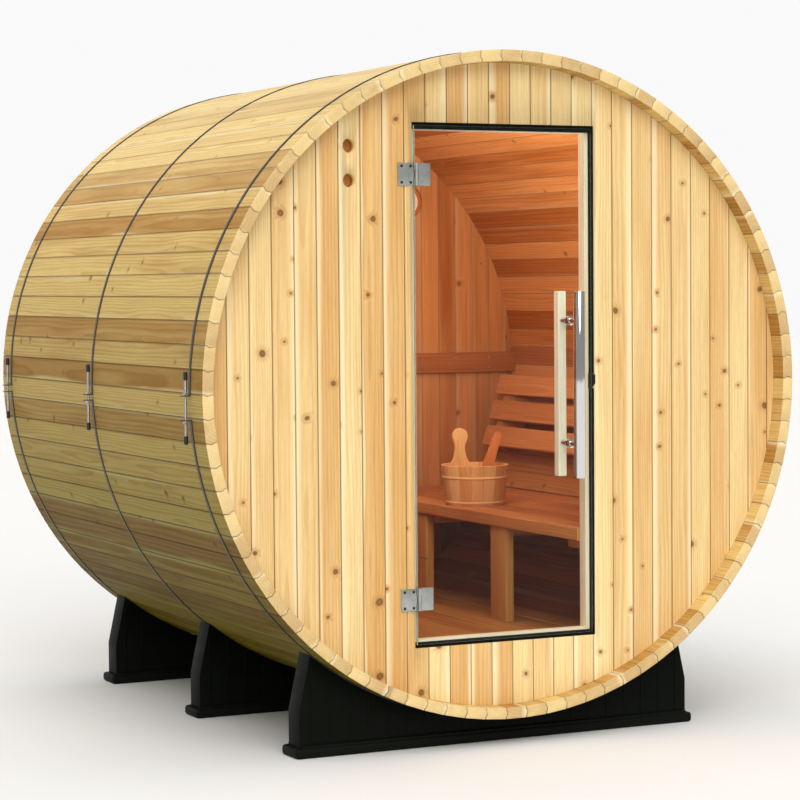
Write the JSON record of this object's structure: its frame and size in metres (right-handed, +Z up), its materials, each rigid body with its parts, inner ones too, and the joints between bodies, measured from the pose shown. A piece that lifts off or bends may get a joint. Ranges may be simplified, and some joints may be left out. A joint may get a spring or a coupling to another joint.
{
  "type": "barrel sauna",
  "caption": "Stave barrel cabin on three black cradles, with steel hoops, a hinged clear glass door, an inner bench with backrest, and a wooden bucket.",
  "frame": {"origin": "bottom centre: on the ground under the middle of the barrel, at the centre of the middle cradle's underside", "axes": "+Z up, +Y towards the rear wall along the barrel, +X to the right seen from the front; the door faces -Y"},
  "size_m": [1.8584, 1.7345, 1.9047],
  "materials": {
    "stave_wood": "planed softwood staves, oiled",
    "wall_wood": "planed pale softwood boards with knots",
    "frame_wood": "planed pale softwood",
    "interior_wood": "planed red softwood",
    "pale_wood": "smooth pale wood",
    "clear_glass": "clear toughened glass, polished edges",
    "seal_rubber": "black rubber seal",
    "black_plastic": "moulded black plastic",
    "hoop_steel": "dark grey steel band",
    "satin_steel": "satin stainless steel",
    "polished_steel": "polished stainless tube"
  },
  "bodies": {
    "root": {"staves_1": "stave_wood", "staves_2": "stave_wood", "staves_3": "stave_wood", "staves_4": "stave_wood", "staves_5": "stave_wood", "staves_6": "stave_wood", "staves_7": "stave_wood", "staves_8": "stave_wood", "staves_9": "stave_wood", "staves_10": "stave_wood", "front_wall_left": "wall_wood", "front_wall_right": "wall_wood", "front_wall_over_door": "wall_wood", "front_wall_under_door": "wall_wood", "rear_wall": "wall_wood", "rear_wall_batten": "interior_wood", "door_jamb_left": "frame_wood", "door_jamb_right": "frame_wood", "door_head": "frame_wood", "door_sill": "frame_wood", "door_seal": "seal_rubber", "door_catch": "black_plastic", "hinge_upper_wall_leaf": "satin_steel", "hinge_lower_wall_leaf": "satin_steel", "vent_cover": "interior_wood", "hoop_front": "hoop_steel", "hoop_middle": "hoop_steel", "hoop_rear": "hoop_steel", "hoop_bolt_front": "satin_steel", "hoop_bolt_middle": "satin_steel", "hoop_bolt_rear": "satin_steel", "cradle_front": "black_plastic", "cradle_middle": "black_plastic", "cradle_rear": "black_plastic", "floor_boards": "interior_wood", "bench_seat": "interior_wood", "bench_bearers": "interior_wood", "bench_legs": "interior_wood", "backrest_slats": "interior_wood", "backrest_brackets": "interior_wood", "bucket": "pale_wood", "ladle": "interior_wood", "thermometer": "interior_wood"},
    "door": {"door_glass": "clear_glass", "door_pull_outer": "polished_steel", "door_pull_inner": "pale_wood", "hinge_upper_door_leaf": "satin_steel", "hinge_lower_door_leaf": "satin_steel"}
  },
  "joints": [
    {"name": "door_hinge", "type": "hinge", "parent": "root", "child": "door", "pos_m": [-0.2715, -0.815, 0.988], "axis": [0, 0, -1], "range_deg": [0, 110]}
  ]
}
